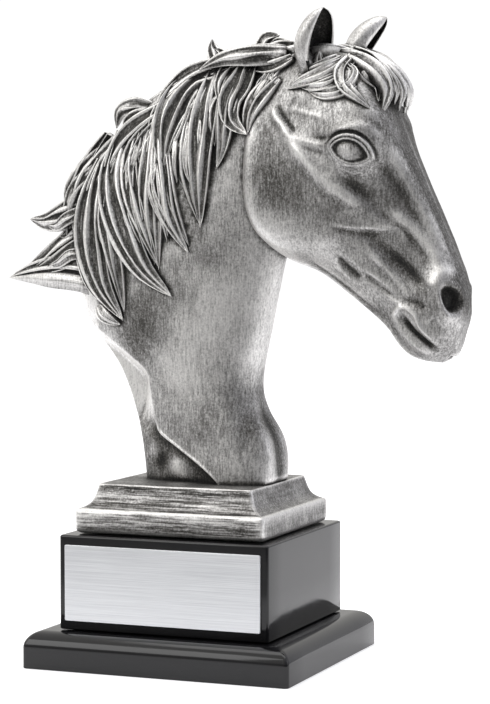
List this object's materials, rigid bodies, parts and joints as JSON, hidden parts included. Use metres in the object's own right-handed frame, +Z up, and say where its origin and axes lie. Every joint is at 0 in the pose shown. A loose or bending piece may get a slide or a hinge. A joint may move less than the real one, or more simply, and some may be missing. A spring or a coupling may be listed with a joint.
{
  "type": "horse head sculpture",
  "caption": "Horse head and neck with a windblown mane, cast with a moulded plinth and set on a gloss black block and foot with a blank metal plate.",
  "frame": {"origin": "centre of the foot's flat underside", "axes": "+X is the way the horse looks, +Z is up, and the plate is on the -Y side"},
  "size_m": [0.1681, 0.0874, 0.2186],
  "materials": {
    "antique_silver": "antiqued silver, bright on the high parts and blackened in the hollows",
    "black_gloss": "black gloss lacquer on wood board",
    "brushed_plate": "brushed lengthwise"
  },
  "bodies": {
    "root": {"horse_casting": "antique_silver", "base_block": "black_gloss", "base_foot": "black_gloss", "plate": "brushed_plate"}
  },
  "joints": []
}
